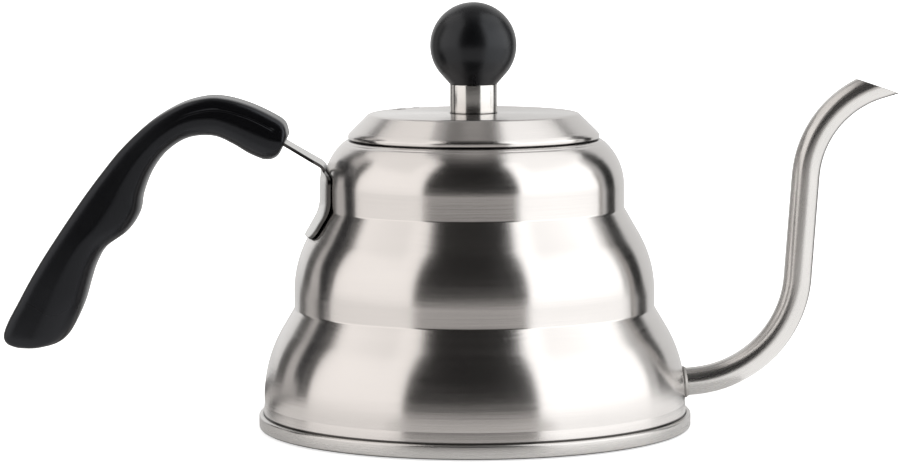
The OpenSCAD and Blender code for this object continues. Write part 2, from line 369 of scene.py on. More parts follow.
def brick(size: Vector, place: Matrix) -> Piece:
    """Makes a box-shaped cutter.

    Args:
        size: Full size in millimetres.
        place: Place of the box's middle, in millimetres.

    Returns:
        The cutter.
    """
    bm = bmesh.new()
    bmesh.ops.create_cube(bm, size=1, matrix=place @ Matrix.Diagonal((*size, 1)))
    return finish_mesh(bm, "cutter")


def cut(piece: Piece, cutters: Sequence[Piece], sharp: float = 35.0) -> None:
    """Takes the cutters' volume out of a piece and deletes the cutters.

    Args:
        piece: Piece that is cut.
        cutters: Closed cutters.
        sharp: Edges that turn by more than this many degrees stay sharp.
    """
    for cutter in cutters:
        modifier = piece.modifiers.new("cut", "BOOLEAN")
        modifier.object = cutter
        modifier.solver = "EXACT"
    graph = bpy.context.evaluated_depsgraph_get()
    mesh = bpy.data.meshes.new_from_object(piece.evaluated_get(graph))
    piece.modifiers.clear()
    piece.data = mesh
    mesh.name = piece.name
    mesh.materials.clear()
    mesh.set_sharp_from_angle(angle=math.radians(sharp))
    for cutter in cutters:
        bpy.data.objects.remove(cutter)


# ---- effects shared by the finishes -------------------------------------------------------------


class Effects:
    """Builds each shared shader effect once and places it in materials."""

    def __init__(self) -> None:
        """Starts with no group built."""
        self.groups: dict[str, Tree] = {}

    def place(self, tree: Tree, effect: str, **values: float) -> Node:
        """Puts an effect into a material.

        Args:
            tree: Node tree of the material.
            effect: Name of one of this class's builders.
            **values: Values for the effect's inputs, with _ for a space.

        Returns:
            The group node.
        """
        if effect not in self.groups:
            self.groups[effect] = getattr(self, effect)()
        node = tree.nodes.new("ShaderNodeGroup")
        node.node_tree = self.groups[effect]
        for key, value in values.items():
            node.inputs[key.replace("_", " ")].default_value = value
        return node

    @staticmethod
    def blank(name: str, inputs: dict[str, float], outputs: Sequence[str]) -> tuple[Tree, Node, Node]:
        """Starts a group with its sockets.

        Args:
            name: Name of the group.
            inputs: Input names with their usual values.
            outputs: Output names.

        Returns:
            The tree, its input node and its output node.
        """
        tree = bpy.data.node_groups.new(name, "ShaderNodeTree")
        for key, value in inputs.items():
            socket = tree.interface.new_socket(key, in_out="INPUT", socket_type="NodeSocketFloat")
            socket.default_value = value
        for key in outputs:
            tree.interface.new_socket(key, in_out="OUTPUT", socket_type="NodeSocketFloat")
        return tree, tree.nodes.new("NodeGroupInput"), tree.nodes.new("NodeGroupOutput")

    @staticmethod
    def math(
        tree: Tree, operation: str, a: Socket | float, b: Socket | float = 0.0, c: Socket | float = 0.0
    ) -> Socket:
        """Adds a math node.

        Args:
            tree: Tree to add to.
            operation: Blender's name of the operation.
            a: First operand, a socket or a number.
            b: Second operand.
            c: Third operand.

        Returns:
            The result's socket.
        """
        node = tree.nodes.new("ShaderNodeMath")
        node.operation = operation
        for slot, operand in zip(node.inputs, (a, b, c)):
            if isinstance(operand, Socket):
                tree.links.new(operand, slot)
            else:
                slot.default_value = operand
        return node.outputs[0]

    @staticmethod
    def noise(tree: Tree, vector: Socket, scale: Socket | float, detail: float = 3.0) -> Socket:
        """Adds a noise texture.

        Args:
            tree: Tree to add to.
            vector: Coordinates.
            scale: Scale, a socket or a number.
            detail: Octaves of the noise.

        Returns:
            The noise value.
        """
        node = tree.nodes.new("ShaderNodeTexNoise")
        node.inputs["Detail"].default_value = detail
        tree.links.new(vector, node.inputs["Vector"])
        if isinstance(scale, Socket):
            tree.links.new(scale, node.inputs["Scale"])
        else:
            node.inputs["Scale"].default_value = scale
        return node.outputs["Fac"]

    @staticmethod
    def remap(tree: Tree, value: Socket, span: Point, onto: Point = (0.0, 1.0)) -> Socket:
        """Stretches part of a value's range onto another range and holds it there.

        Args:
            tree: Tree to add to.
            value: Value to stretch.
            span: Start and end of the part.
            onto: Start and end of the range that it fills.

        Returns:
            The stretched value.
        """
        node = tree.nodes.new("ShaderNodeMapRange")
        for key, end in zip(("From Min", "From Max", "To Min", "To Max"), (*span, *onto)):
            node.inputs[key].default_value = end
        tree.links.new(value, node.inputs["Value"])
        return node.outputs[0]

    def turned_lines(self) -> Tree:
        """Builds the fine lines that a turning brush leaves round the axis.

        Returns:
            Group with the lines and the broad bands they lie in.
        """
        nearest, band_share = 0.0005, 0.09
        sockets = {"Lines": 3000.0, "Wander": 1.5}
        tree, given, out = self.blank("turned lines", sockets, ("Lines", "Bands"))
        place = tree.nodes.new("ShaderNodeTexCoord").outputs["Object"]
        split = tree.nodes.new("ShaderNodeSeparateXYZ")
        tree.links.new(place, split.inputs[0])
        x, y, z = split.outputs
        square = self.math(tree, "MULTIPLY_ADD", y, y, self.math(tree, "MULTIPLY", x, x))
        radius = self.math(tree, "SQRT", square)
        safe = self.math(tree, "MAXIMUM", radius, nearest)
        rise = self.math(tree, "SUBTRACT", z, radius)
        for key, factor in (("Lines", 1.0), ("Bands", band_share)):
            join = tree.nodes.new("ShaderNodeCombineXYZ")
            for side, socket in zip((x, y), join.inputs):
                bearing = self.math(tree, "DIVIDE", side, safe)
                tree.links.new(self.math(tree, "MULTIPLY", bearing, given.outputs["Wander"]), socket)
            step = self.math(tree, "MULTIPLY", given.outputs["Lines"], factor)
            tree.links.new(self.math(tree, "MULTIPLY", rise, step), join.inputs[2])
            tree.links.new(self.noise(tree, join.outputs[0], 1.0), out.inputs[key])
        return tree

    def drawn_lines(self) -> Tree:
        """Builds the fine lines that polishing leaves along a tube or a strip.

        Returns:
            Group with the lines and the broad bands they lie in.
        """
        band_share = 0.12
        sockets = {"Lines": 60.0, "Wander": 6.0}
        tree, given, out = self.blank("drawn lines", sockets, ("Lines", "Bands"))
        run = tree.nodes.new("ShaderNodeUVMap")
        run.uv_map = GRAIN_MAP
        split = tree.nodes.new("ShaderNodeSeparateXYZ")
        tree.links.new(run.outputs[0], split.inputs[0])
        turn = self.math(tree, "MULTIPLY", split.outputs[1], 2 * math.pi)
        for key, factor in (("Lines", 1.0), ("Bands", band_share)):
            join = tree.nodes.new("ShaderNodeCombineXYZ")
            step = self.math(tree, "MULTIPLY", given.outputs["Lines"], factor / (2 * math.pi))
            for way, socket in zip(("COSINE", "SINE"), join.inputs):
                tree.links.new(self.math(tree, "MULTIPLY", self.math(tree, way, turn), step), socket)
            along = self.math(tree, "MULTIPLY", split.outputs[0], given.outputs["Wander"])
            tree.links.new(along, join.inputs[2])
            tree.links.new(self.noise(tree, join.outputs[0], 1.0), out.inputs[key])
        return tree

    def edge_wear(self) -> Tree:
        """Builds a mask that is high on outer edges, broken up by noise.

        Returns:
            Group with the mask.
        """
        flat, edge = 0.52, 0.62
        tree, given, out = self.blank("edge wear", {"Amount": 0.5, "Break Up": 300.0}, ("Mask",))
        raised = tree.nodes.new("ShaderNodeNewGeometry").outputs["Pointiness"]
        edges = self.remap(tree, raised, (flat, edge))
        place = tree.nodes.new("ShaderNodeTexCoord").outputs["Object"]
        broken = self.noise(tree, place, given.outputs["Break Up"])
        mask = self.math(tree, "MULTIPLY", edges, broken)
        tree.links.new(self.math(tree, "MULTIPLY", mask, given.outputs["Amount"]), out.inputs["Mask"])
        return tree

    def painted_crevice_shade(self) -> Tree:
        """Builds a mask of painted shade from ambient occlusion, high deep in narrow gaps where shade falls.

        Returns:
            Group with the mask.
        """
        open_light, shut_light = 0.72, 0.4
        tree, given, out = self.blank("painted_crevice_shade", {"Depth": 0.0015}, ("Mask",))
        # painted shade: occlusion within the reach becomes a darkening of the colour
        shade = tree.nodes.new("ShaderNodeAmbientOcclusion")
        shade.samples = 6
        tree.links.new(given.outputs["Depth"], shade.inputs["Distance"])
        mask = self.remap(tree, shade.outputs["AO"], (open_light, shut_light))
        tree.links.new(mask, out.inputs["Mask"])
        return tree

    def handling(self) -> Tree:
        """Builds the broad, soft patches that wiping and handling leave.

        Returns:
            Group with the patches.
        """
        tree, given, out = self.blank("handling", {"Size": 25.0}, ("Patches",))
        place = tree.nodes.new("ShaderNodeTexCoord").outputs["Object"]
        tree.links.new(self.noise(tree, place, given.outputs["Size"], 2.0), out.inputs["Patches"])
        return tree

    def stipple(self) -> Tree:
        """Builds the fine texture of a moulded or bead-blasted surface.

        Returns:
            Group with the height.
        """
        broad_size, broad_share = 0.2, 0.5
        tree, given, out = self.blank("stipple", {"Size": 2500.0}, ("Height",))
        place = tree.nodes.new("ShaderNodeTexCoord").outputs["Object"]
        fine = self.noise(tree, place, given.outputs["Size"], 2.0)
        coarse = self.math(tree, "MULTIPLY", given.outputs["Size"], broad_size)
        broad = self.noise(tree, place, coarse, 2.0)
        height = self.math(tree, "MULTIPLY_ADD", broad, broad_share, fine)
        tree.links.new(height, out.inputs["Height"])
        return tree


EFFECTS = Effects()


@dataclass(frozen=True)
class Finish:
    """What every finish shares: a name and a ready shader to set up."""

    name: str
    colour: Colour
    roughness: float

    def start(self) -> tuple[bpy.types.Material, Tree, Node]:
        """Makes an empty material.

        Returns:
            The material, its node tree and its shader node.
        """
        material = bpy.data.materials.new(self.name)
        material.use_nodes = True
        tree = material.node_tree
        shader = tree.nodes["Principled BSDF"]
        shader.inputs["Base Color"].default_value = (*self.colour, 1)
        shader.inputs["Roughness"].default_value = self.roughness
        return material, tree, shader

    @staticmethod
    def relief(tree: Tree, shader: Node, height: Socket, depth: float) -> None:
        """Lets a height break up the light on the surface.

        Args:
            tree: Node tree of the material.
            shader: The material's shader.
            height: Height of the fine texture.
            depth: Strength of the effect.
        """
        bump = tree.nodes.new("ShaderNodeBump")
        bump.inputs["Strength"].default_value = depth
        bump.inputs["Distance"].default_value = BUMP_REACH
        tree.links.new(height, bump.inputs["Height"])
        tree.links.new(bump.outputs[0], shader.inputs["Normal"])

    @staticmethod
    def blend(tree: Tree, mask: Socket, low: Colour, high: Colour) -> Socket:
        """Mixes two colours by a mask.

        Args:
            tree: Tree to add to.
            mask: Mask from 0 to 1.
            low: Colour where the mask is 0.
            high: Colour where the mask is 1.

        Returns:
            The mixed colour.
        """
        mix = tree.nodes.new("ShaderNodeMix")
        mix.data_type = "RGBA"
        tree.links.new(mask, mix.inputs["Factor"])
        mix.inputs["A"].default_value = (*low, 1)
        mix.inputs["B"].default_value = (*high, 1)
        return mix.outputs["Result"]


@dataclass(frozen=True)
class Steel(Finish):
    """Brushed or polished metal with fine lines, its colour darkened by painted shade in narrow gaps and at
    marked vertices.
    """

    grain: Grain = Grain.NONE
    stretch: float = 0.0
    depth: float = 0.04
    lines: float = 3000.0
    wear: float = 0.4
    # reach of the painted shade in narrow gaps, in metres
    gap: float = 0.0015
    # whether marked vertices also get painted shade
    painted_shade: bool = False
    line_rough: float = 0.1
    patch_rough: float = 0.05
    wear_rough: float = 0.12
    tone_spread: float = 0.05
    # colour of the deepest painted shade
    shade_tint: Colour = (0.05, 0.048, 0.045)

    def material(self) -> bpy.types.Material:
        """Builds the metal's material.

        Returns:
            The material, with every effect in place.
        """
        material, tree, shader = self.start()
        shader.inputs["Metallic"].default_value = 1.0
        shader.inputs["Anisotropic"].default_value = self.stretch
        if self.grain is Grain.ROUND:
            grain = EFFECTS.place(tree, "turned_lines", Lines=self.lines)
            tangent = tree.nodes.new("ShaderNodeTangent")
            tangent.direction_type = "RADIAL"
            tangent.axis = "Z"
            quarter_turn = 0.25
            shader.inputs["Anisotropic Rotation"].default_value = quarter_turn
            tree.links.new(tangent.outputs[0], shader.inputs["Tangent"])
            height, bands = grain.outputs["Lines"], grain.outputs["Bands"]
        elif self.grain is Grain.ALONG:
            grain = EFFECTS.place(tree, "drawn_lines", Lines=self.lines)
            height, bands = grain.outputs["Lines"], grain.outputs["Bands"]
        else:
            grain = EFFECTS.place(tree, "stipple", Size=self.lines)
            height = grain.outputs["Height"]
            bands = height
        patches = EFFECTS.place(tree, "handling", Size=30.0).outputs["Patches"]
        worn = EFFECTS.place(tree, "edge_wear", Amount=self.wear).outputs["Mask"]
        smoothest = self.roughness - (self.line_rough + self.patch_rough) / 2
        line_part = EFFECTS.math(tree, "MULTIPLY_ADD", height, self.line_rough, smoothest)
        patch_part = EFFECTS.math(tree, "MULTIPLY_ADD", patches, self.patch_rough, line_part)
        rough = EFFECTS.math(tree, "MULTIPLY_ADD", worn, -self.wear_rough, patch_part)
        tree.links.new(rough, shader.inputs["Roughness"])
        half = 0.5
        tone = EFFECTS.math(tree, "MULTIPLY_ADD", bands, half, EFFECTS.math(tree, "MULTIPLY", patches, half))
        dark = tuple(c * (1 - self.tone_spread) for c in self.colour)
        light = tuple(min(1.0, c * (1 + self.tone_spread)) for c in self.colour)
        clean = self.blend(tree, tone, dark, light)
        # painted shade: occlusion in narrow gaps and the marked vertices darken the metal's colour
        gap = EFFECTS.place(tree, "painted_crevice_shade", Depth=self.gap).outputs["Mask"]
        if self.painted_shade:
            edge = tree.nodes.new("ShaderNodeAttribute")
            edge.attribute_name = PAINTED_SHADE
            gap = EFFECTS.math(tree, "MAXIMUM", gap, edge.outputs["Fac"])
        shade_tint = self.blend(tree, gap, (1, 1, 1), self.shade_tint)
        mix = tree.nodes.new("ShaderNodeMix")
        mix.data_type = "RGBA"
        mix.blend_type = "MULTIPLY"
        mix.inputs["Factor"].default_value = 1.0
        tree.links.new(clean, mix.inputs["A"])
        tree.links.new(shade_tint, mix.inputs["B"])
        tree.links.new(mix.outputs["Result"], shader.inputs["Base Color"])
        self.relief(tree, shader, height, self.depth)
        return material


@dataclass(frozen=True)
class Resin(Finish):
    """Dark moulded resin with a satin skin."""

    depth: float = 0.12
    stipple: float = 1800.0
    sheen: Colour = (0.74, 0.78, 0.86)
    patch_rough: float = 0.16
    wear_rough: float = 0.1
    worn_gain: float = 2.2
    worn_lift: float = 0.004

    def material(self) -> bpy.types.Material:
        """Builds the resin's material.

        Returns:
            The material, with every effect in place.
        """
        material, tree, shader = self.start()
        shader.inputs["IOR"].default_value = 1.5
        shader.inputs["Specular Tint"].default_value = (*self.sheen, 1.0)
        skin_height = EFFECTS.place(tree, "stipple", Size=self.stipple).outputs["Height"]
        patches = EFFECTS.place(tree, "handling", Size=18.0).outputs["Patches"]
        worn = EFFECTS.place(tree, "edge_wear", Amount=0.8).outputs["Mask"]
        smoothest = self.roughness - self.patch_rough / 2
        rough = EFFECTS.math(tree, "MULTIPLY_ADD", patches, self.patch_rough, smoothest)
        polished = EFFECTS.math(tree, "MULTIPLY_ADD", worn, -self.wear_rough, rough)
        tree.links.new(polished, shader.inputs["Roughness"])
        light = tuple(c * self.worn_gain + self.worn_lift for c in self.colour)
        tree.links.new(self.blend(tree, worn, self.colour, light), shader.inputs["Base Color"])
        self.relief(tree, shader, skin_height, self.depth)
        return material


FINISHES: dict[Slot, Finish] = {
    # the body's marked band above the rim darkens: painted shade
    Slot.BODY: Steel(
        "turned body steel", (0.74, 0.715, 0.70), 0.215, Grain.ROUND, 0.8, 0.1, 1500.0, painted_shade=True
    ),
    Slot.BASE: Steel("satin base steel", (0.68, 0.665, 0.65), 0.28, Grain.ROUND, 0.5, 0.04, 1800.0),
    # the spout's steel is darker than the body's: painted shade that dims the tube's reflections
    Slot.SPOUT: Steel("satin spout steel", (0.67, 0.655, 0.64), 0.27, Grain.ALONG, 0.0, 0.05, 60.0),
    # the strip's marked edges darken: painted shade standing in for a dark reflection
    Slot.BRACKET: Steel(
        "bright strip steel", (0.74, 0.73, 0.715), 0.2, Grain.ALONG, 0.0, 0.04, 60.0, painted_shade=True
    ),
    Slot.LID: Steel("turned lid steel", (0.75, 0.725, 0.71), 0.215, Grain.ROUND, 0.75, 0.1, 1500.0),
    Slot.COLLAR: Steel("polished collar steel", (0.78, 0.765, 0.745), 0.2, Grain.ROUND, 0.8, 0.06, 3000.0),
    Slot.SCREW: Steel("plain screw steel", (0.6, 0.6, 0.6), 0.34, Grain.NONE, 0.0, 0.08, 2500.0),
    Slot.WELD: Steel("dressed weld", (0.46, 0.445, 0.43), 0.42, Grain.NONE, 0.0, 0.3, 900.0, 0.1),
    Slot.GRIP: Resin("satin grip resin", (0.003, 0.003, 0.0036), 0.25),
    Slot.KNOB: Resin("satin knob resin", (0.0025, 0.0025, 0.0032), 0.27, 0.1, 2200.0, (0.9, 0.94, 1.0)),
    Slot.BRASS: Steel("turned brass", (0.72, 0.5, 0.22), 0.3, Grain.NONE, 0.0, 0.1, 2500.0),
    Slot.SPREADER: Steel("rolled aluminium", (0.8, 0.8, 0.81), 0.38, Grain.NONE, 0.0, 0.1, 1500.0),
}


class Workshop:
    """Holds one material for each slot and fits pieces to the frame."""

    def __init__(self) -> None:
        """Builds every finish once."""
        self.materials = {slot: finish.material() for slot, finish in FINISHES.items()}

    def fit(self, piece: Piece, body: Body, slot: Slot, *nodes: str) -> Piece:
        """Dresses a piece, rides it on its body and lets it stand for CAD nodes.

        Args:
            piece: The piece, in place.
            body: Body that it moves with.
            slot: Slot of its finish.
            *nodes: CAD nodes that it stands for.

        Returns:
            The piece.
        """
        piece.data.materials.append(self.materials[slot])
        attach(piece, body.value)
        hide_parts(*nodes)
        low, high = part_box(nodes[0])
        size = ", ".join(f"{v / MM:.1f}" for v in (high - low))
        LOG.info("%s stands for %s on %s, CAD size %s mm", piece.name, nodes, body.value, size)
        return piece

    def dress(self, node: str, slot: Slot) -> None:
        """Gives a CAD node that stays in view its finish.

        Args:
            node: Name of the node.
            slot: Slot of its finish.
        """
        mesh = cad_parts[node].data
        mesh.materials.clear()
        mesh.materials.append(self.materials[slot])
        LOG.info("%s keeps its CAD shape in %s", node, slot.value)


# ---- sub-assemblies -----------------------------------------------------------------------------


@dataclass
class KettleBody:
    """Stepped body, neck ring and the sandwich base under it. All sizes in millimetres."""

    shop: Workshop
    low_r: float = 72.1
    mid_r: float = 61.6
    top_r: float = 51.3
    low_crease: float = 41.3
    top_crease: float = 75.4
    mouth: float = 98.7
    sheet: float = 0.7
    rim_r: float = 74.0
    rim_h: float = 5.2
    # height of the band above the rim that gets painted shade; rows of the wall bound it
    shade_band: float = 0.5
    painted_band_shade: float = 0.93
    shoulder_r: float = 42.6
    shoulder_bend: float = 2.6
    hole_reach: float = 6.0
    neck_bore: float = 39.0
    neck_depth: float = 8.0
    floor: float = 3.0
    cap_r: float = 62.0
    cap_sheet: float = 0.6
    bend_steps: int = 28

    def step(self, r: float, low: float, bend_at: float, bend: float, turn: float) -> list[Corner]:
        """Makes one step of the wall: upright, then leaning in.

        Args:
            r: Radius of the upright wall.
            low: Height where the wall starts.
            bend_at: Height where it starts to lean.
            bend: Radius of the bend.
            turn: How far it leans at the top, in degrees.

        Returns:
            Corners of the step.
        """
        foot = Corner(r, low, 1.1)
        return [foot] + arc((r - bend, bend_at), bend, 0, turn, self.bend_steps)

    def outside(self) -> list[Point]:
        """Gives the outer side of the body's sheet from the foot flange to the mouth.

        Returns:
            Points of radius and height.
        """
        foot = self.low_r + 0.3
        corners = [Corner(self.rim_r - 0.7, 1.8), Corner(foot, 1.8, 0.6)]
        corners += [Corner(foot, self.rim_h + up) for up in (-0.4, 0, self.shade_band, self.shade_band + 0.25)]
        corners += self.step(self.low_r, low=9, bend_at=11, bend=46, turn=29.9)
        corners += self.step(self.mid_r, self.low_crease, bend_at=47, bend=38.9, turn=29.2)
        corners += self.step(self.top_r, self.top_crease, bend_at=83.2, bend=19.4, turn=48)
        hub = (self.shoulder_r, self.mouth - self.shoulder_bend)
        corners += arc(hub, self.shoulder_bend, start=38, end=90, steps=12)
        corners += [Corner(self.neck_bore + 0.9, self.mouth)]
        return rounded(corners, closed=False)

    def build_shell(self, spout_place: Matrix, spout_r: float) -> None:
        """Builds the spun shell with a thin band of painted shade above the rim, and its hole for the spout.

        Args:
            spout_place: Place of the spout's root, its axis along Z, in millimetres.
            spout_r: Radius of the hole.
        """
        shell = lathe("stepped_shell", sheet(self.outside(), self.sheet), segments=288)
        tolerance = 0.01
        # painted shade: vertices in a thin band of the wall just above the rim are marked dark, standing in
        # for the shadow where the wall meets the rim
        mark = shell.data.attributes.new(PAINTED_SHADE, "FLOAT", "POINT")
        for vert, value in zip(shell.data.vertices, mark.data):
            in_shade_band = abs(vert.co.z / MM - self.rim_h) <= self.shade_band + tolerance
            value.value = self.painted_band_shade if in_shade_band else 0.0
        start = Matrix.Translation((0, 0, -self.hole_reach))
        cut(shell, [drum(spout_r, 2 * self.hole_reach, spout_place @ start)])
        self.shop.fit(shell, Body.KETTLE, Slot.BODY, "body_shell")

    def build_neck(self) -> None:
        """Builds the guide ring in the mouth."""
        bore, top, ledge = self.neck_bore, self.mouth, self.mouth - self.sheet
        corners = [
            Corner(bore, top - self.neck_depth, 0.2),
            Corner(bore + 0.6, top - self.neck_depth, 0.2),
            Corner(bore + 0.6, ledge - 0.7),
            Corner(bore + 2.6, ledge - 0.7),
            Corner(bore + 2.6, ledge),
            Corner(bore + 0.6, ledge),
            Corner(bore + 0.6, top, 0.2),
            Corner(bore, top, 0.25),
        ]
        neck = lathe("neck_guide", rounded(corners), segments=192)
        self.shop.fit(neck, Body.KETTLE, Slot.BODY, "neck_ring")

    def build_base(self) -> None:
        """Builds the floor pan with its folded rim, and the cap under the heat spreader."""
        wall = self.low_r + 0.35
        r, h = self.rim_r, self.rim_h
        pan = [
            Corner(wall, h, 0.15),
            Corner(r, h, 0.75),
            Corner(r, 0.4, 0.9),
            Corner(70.6, 0.4, 0.8),
            Corner(69.4, self.floor, 0.8),
            Corner(0, self.floor),
            Corner(0, self.floor + 0.6),
            Corner(69.7, self.floor + 0.6, 0.5),
            Corner(70.8, 1.0, 0.4),
            Corner(r - 0.65, 1.0, 0.4),
            Corner(r - 0.65, h - 0.6, 0.3),
            Corner(wall, h - 0.6),
        ]
        base = lathe("rim_and_floor", rounded(pan), segments=288)
        self.shop.fit(base, Body.KETTLE, Slot.BASE, "base_pan")
        low, high = self.cap_r, self.cap_r + self.cap_sheet
        cap = [
            Corner(0, 0),
            Corner(low + 0.4, 0, 0.9),
            Corner(high, self.floor),
            Corner(low, self.floor),
            Corner(low, self.cap_sheet, 0.4),
            Corner(0, self.cap_sheet),
        ]
        cover = lathe("spreader_cover", rounded(cap), segments=192)
        self.shop.fit(cover, Body.KETTLE, Slot.BASE, "base_cap")
        self.shop.dress("heat_spreader", Slot.SPREADER)


@dataclass
class Spout:
    """Swan-neck tube with its slanting outlet. All sizes in millimetres and degrees."""

    shop: Workshop
    radius: float = 4.8
    wall: float = 0.6
    root: Point = (71.2, 14.7)
    rise: float = 5.7
    runs: tuple[tuple[float, ...], ...] = (
        (4.7,),
        (38.8, 80.1),
        (33.9,),
        (48.0, -4.6),
        (34.7, -64.6),
        (22.0,),
    )
    outlet: Point = (131.4, 118.3)
    fall: float = 19.0
    sides: int = 72
    turn_step: float = 1.5
    straight_step: float = 3.0
    hole_play: float = 0.05

    def root_place(self) -> Matrix:
        """Gives the place of the root with Z along the tube."""
        tilt = Matrix.Rotation(math.radians(90 - self.rise), 4, "Y")
        return Matrix.Translation((self.root[0], 0, self.root[1])) @ tilt

    def stations(self) -> list[tuple[Vector, float]]:
        """Gives points along the centre line with the tube's heading in radians.

        Returns:
            Pairs of point and heading, from the root to the end.
        """
        at, way = Vector(self.root), math.radians(self.rise)
        line = [(at, way)]
        for run in self.runs:
            ahead = Vector((math.cos(way), math.sin(way)))
            if len(run) == 1:
                steps = max(1, round(run[0] / self.straight_step))
                line += [(at + ahead * run[0] * k / steps, way) for k in range(1, steps + 1)]
                at = line[-1][0]
                continue
            turn = math.radians(run[1])
            arm = math.copysign(run[0], turn)
            hub = at + arm * Vector((-ahead.y, ahead.x))
            steps = math.ceil(abs(run[1]) / self.turn_step)
            for k in range(1, steps + 1):
                a = way + turn * k / steps
                line.append((hub + arm * Vector((math.sin(a), -math.cos(a))), a))
            at, way = line[-1]
        return line

    def rings(self, radius: float) -> list[Ring]:
        """Gives circles square to the centre line.

        Args:
            radius: Radius of the circles.

        Returns:
            One ring for each station.
        """
        rings = []
        for centre, way in self.stations():
            up = Vector((-math.sin(way), 0, math.cos(way)))
            turns = [2 * math.pi * k / self.sides for k in range(self.sides)]
            middle = Vector((centre.x, 0, centre.y))
            rings.append(
                [middle + radius * (math.cos(a) * up + math.sin(a) * Vector((0, 1, 0))) for a in turns]
            )
        return rings

    def build(self) -> None:
        """Builds the tube, slices its outlet and closes the cut edge."""
        bm = bmesh.new()
        outer = skin(bm, self.rings(self.radius))
        inner = skin(bm, self.rings(self.radius - self.wall))
        slope = math.radians(self.fall)
        bmesh.ops.bisect_plane(
            bm,
            geom=bm.verts[:] + bm.edges[:] + bm.faces[:],
            dist=1e-6,
            plane_co=(self.outlet[0], 0, self.outlet[1]),
            plane_no=(math.sin(slope), 0, math.cos(slope)),
            clear_outer=True,
        )
        for k in range(self.sides):
            n = (k + 1) % self.sides
            bm.faces.new((outer[0][n], outer[0][k], inner[0][k], inner[0][n]))
        open_edges = [e for e in bm.edges if e.is_boundary]
        bmesh.ops.bridge_loops(bm, edges=open_edges)
        tube = finish_mesh(bm, "swan_neck_tube")
        self.shop.fit(tube, Body.KETTLE, Slot.SPOUT, "spout_tube")
        self.shop.dress("spout_weld", Slot.WELD)


